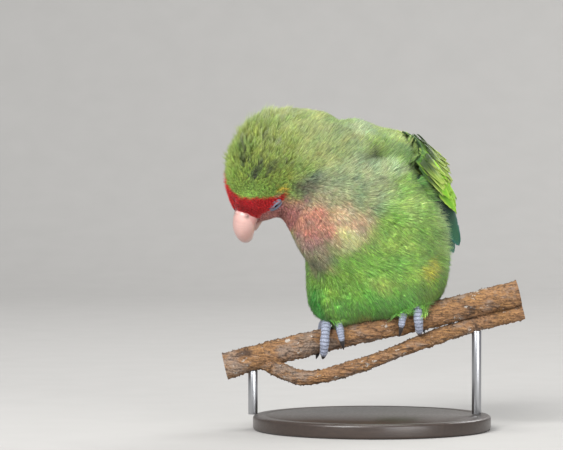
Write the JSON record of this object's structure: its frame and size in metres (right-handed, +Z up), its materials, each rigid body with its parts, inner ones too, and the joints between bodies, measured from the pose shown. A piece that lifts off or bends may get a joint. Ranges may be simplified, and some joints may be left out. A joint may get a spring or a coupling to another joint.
{
  "type": "peach faced lovebird",
  "caption": "Small plump green parrot with a rosy face, feathers fluffed and head bowed to one side, gripping a short sloping branch on a round display stand.",
  "frame": {"origin": "centre of the stand base's underside, on the floor", "axes": "+Z up, +X along the branch towards the bird's left foot, -Y the way the breast faces"},
  "size_m": [0.1274, 0.1423, 0.1349],
  "materials": {
    "plumage_green": "soft, matt",
    "plumage_face": "soft, matt",
    "feathers_wing": "matt with a faint sheen",
    "feathers_tail": "matt with a faint sheen",
    "bill_horn": "smooth, satin",
    "eye_dark": "polished",
    "lid_skin": "soft, dry",
    "foot_skin": "dry, scaled",
    "claw_horn": "satin",
    "bark": "rough bark",
    "stand_lacquer": "satin black lacquer",
    "rod_steel": "brushed"
  },
  "bodies": {
    "root": {"torso": "plumage_green", "neck": "plumage_green", "head": "plumage_face", "bill_upper": "bill_horn", "bill_lower": "bill_horn", "eye_left": "eye_dark", "lids_left": "lid_skin", "wing_left": "feathers_wing", "leg_left": "foot_skin", "eye_right": "eye_dark", "lids_right": "lid_skin", "wing_right": "feathers_wing", "leg_right": "foot_skin", "claw_left_outer_front": "claw_horn", "claw_left_inner_front": "claw_horn", "claw_left_outer_back": "claw_horn", "claw_left_inner_back": "claw_horn", "claw_right_outer_front": "claw_horn", "claw_right_inner_front": "claw_horn", "claw_right_outer_back": "claw_horn", "claw_right_inner_back": "claw_horn", "tail": "feathers_tail", "perch": "bark", "perch_twig": "bark", "stand_base": "stand_lacquer", "stand_rod_left": "rod_steel", "stand_rod_right": "rod_steel"}
  },
  "joints": []
}
